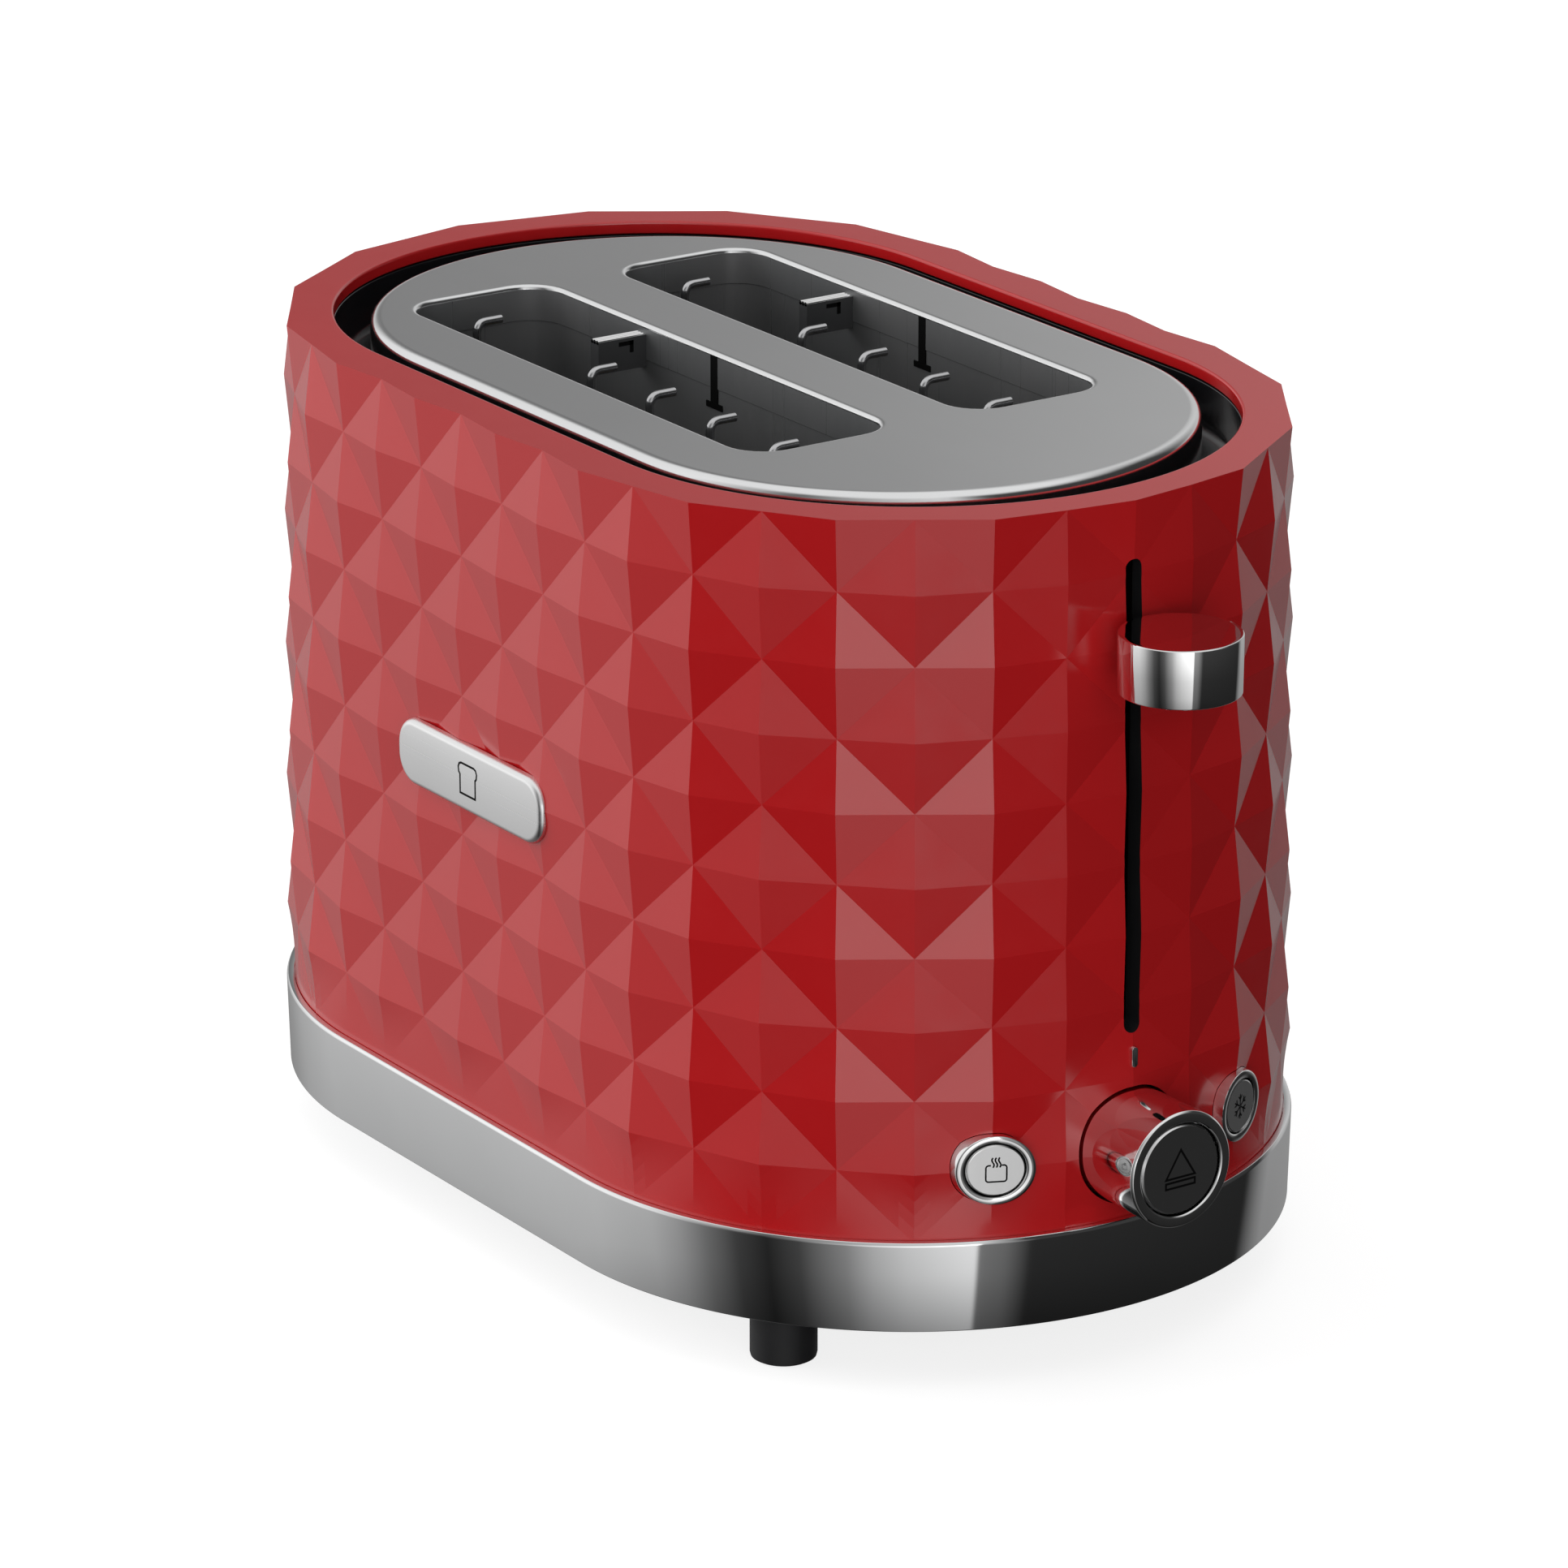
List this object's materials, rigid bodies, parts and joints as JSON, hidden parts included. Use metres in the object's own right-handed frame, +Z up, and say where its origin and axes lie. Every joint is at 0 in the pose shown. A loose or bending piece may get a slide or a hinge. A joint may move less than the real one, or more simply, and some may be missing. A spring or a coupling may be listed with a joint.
{
  "type": "pop up toaster",
  "caption": "Stadium-plan toaster with a faceted plastic body, steel top with bread slots, bright base band, round lever, browning knob and push buttons.",
  "frame": {"origin": "centre of the overall box, on the surface that the feet stand on", "axes": "+Z up, +X towards the end with the lever, knob and buttons, -Y towards the side with the badge"},
  "size_m": [0.3032, 0.1756, 0.1966],
  "materials": {
    "red_shell": "glossy moulded plastic with a diamond facet pattern",
    "black_plastic": "semi-gloss black moulding",
    "bright_chrome": "polished mirror chrome",
    "satin_steel": "satin stainless steel sheet",
    "dark_steel": "heat-darkened steel sheet",
    "wire_steel": "drawn wire and turned steel",
    "foot_rubber": "matt black rubber",
    "mica_sheet": "mica board, matt",
    "heating_ribbon": "oxidised nichrome ribbon",
    "board_green": "glass-fibre circuit board",
    "coil_copper": "enamelled copper winding"
  },
  "bodies": {
    "housing": {"outer_shell": "red_shell", "badge": "bright_chrome", "index_mark": "bright_chrome", "top_plate": "satin_steel", "top_collar": "black_plastic", "slot_liner_near": "dark_steel", "slot_liner_far": "dark_steel", "base_band": "bright_chrome", "base_plate": "black_plastic", "cord_gland": "foot_rubber", "end_plate_front": "dark_steel", "end_plate_rear": "dark_steel", "reflector_near": "dark_steel", "reflector_far": "dark_steel", "heater_board_near": "mica_sheet", "heater_board_centre": "mica_sheet", "heater_board_far": "mica_sheet", "heating_ribbon_near": "heating_ribbon", "heating_ribbon_centre_near": "heating_ribbon", "heating_ribbon_centre_far": "heating_ribbon", "heating_ribbon_far": "heating_ribbon", "guide_rod": "wire_steel", "return_spring": "wire_steel", "electromagnet": "coil_copper", "reheat_bezel": "bright_chrome", "reheat_switch": "black_plastic", "defrost_bezel": "bright_chrome", "defrost_switch": "black_plastic", "cancel_switch": "black_plastic", "potentiometer": "black_plastic", "circuit_board": "board_green", "terminal_block": "black_plastic", "foot_front_near": "foot_rubber", "base_screw_front_near": "wire_steel", "foot_front_far": "foot_rubber", "base_screw_front_far": "wire_steel", "foot_rear_near": "foot_rubber", "base_screw_rear_near": "wire_steel", "foot_rear_far": "foot_rubber", "base_screw_rear_far": "wire_steel"},
    "carriage": {"carriage": "dark_steel", "lever_arm": "wire_steel", "lever_cap": "bright_chrome", "bread_rack_near": "wire_steel", "bread_rack_far": "wire_steel", "armature_plate": "wire_steel"},
    "guard_near_hooked": {"guard_near_slot_hooked": "wire_steel"},
    "guard_near_plain": {"guard_near_slot_plain": "wire_steel"},
    "guard_far_hooked": {"guard_far_slot_hooked": "wire_steel"},
    "guard_far_plain": {"guard_far_slot_plain": "wire_steel"},
    "browning_knob": {"browning_knob": "bright_chrome", "knob_shaft": "wire_steel"},
    "cancel_button": {"cancel_button": "bright_chrome"},
    "reheat_button": {"reheat_button": "bright_chrome"},
    "defrost_button": {"defrost_button": "bright_chrome"},
    "crumb_tray": {"crumb_tray": "satin_steel", "crumb_tray_front": "bright_chrome"}
  },
  "joints": [
    {"name": "carriage_slide", "type": "slide", "parent": "housing", "child": "carriage", "axis": [0, 0, 1], "range_m": [-0.083, 0.011], "stiffness_N_per_m": 120, "springref_m": 0.0106, "deforming": ["return_spring"]},
    {"name": "guard_near_hooked_slide", "type": "slide", "parent": "housing", "child": "guard_near_hooked", "axis": [0, 1, 0], "range_m": [-0.00035, 0.00251]},
    {"name": "guard_near_plain_slide", "type": "slide", "parent": "housing", "child": "guard_near_plain", "axis": [0, 1, 0], "range_m": [-0.00251, 0.00035]},
    {"name": "guard_far_hooked_slide", "type": "slide", "parent": "housing", "child": "guard_far_hooked", "axis": [0, 1, 0], "range_m": [-0.00035, 0.00251]},
    {"name": "guard_far_plain_slide", "type": "slide", "parent": "housing", "child": "guard_far_plain", "axis": [0, 1, 0], "range_m": [-0.00251, 0.00035]},
    {"name": "knob_turn", "type": "hinge", "parent": "housing", "child": "browning_knob", "pos_m": [0.13225, 0, 0.0507], "axis": [1, 0, 0], "range_deg": [-135, 135]},
    {"name": "cancel_press", "type": "slide", "parent": "housing", "child": "cancel_button", "axis": [-1, 0, 0], "range_m": [0, 0.0025], "stiffness_N_per_m": 500, "springref_m": -0.001},
    {"name": "reheat_press", "type": "slide", "parent": "housing", "child": "reheat_button", "axis": [-1, 0, 0], "range_m": [0, 0.0025], "stiffness_N_per_m": 500, "springref_m": -0.001},
    {"name": "defrost_press", "type": "slide", "parent": "housing", "child": "defrost_button", "axis": [-1, 0, 0], "range_m": [0, 0.0025], "stiffness_N_per_m": 500, "springref_m": -0.001},
    {"name": "tray_slide", "type": "slide", "parent": "housing", "child": "crumb_tray", "axis": [-1, 0, 0], "range_m": [0, 0.19]}
  ],
  "couplings": [
    {"joint": "guard_near_hooked_slide", "follows": "carriage_slide", "ratio": -0.03},
    {"joint": "guard_near_plain_slide", "follows": "carriage_slide", "ratio": 0.03},
    {"joint": "guard_far_hooked_slide", "follows": "carriage_slide", "ratio": -0.03},
    {"joint": "guard_far_plain_slide", "follows": "carriage_slide", "ratio": 0.03}
  ]
}
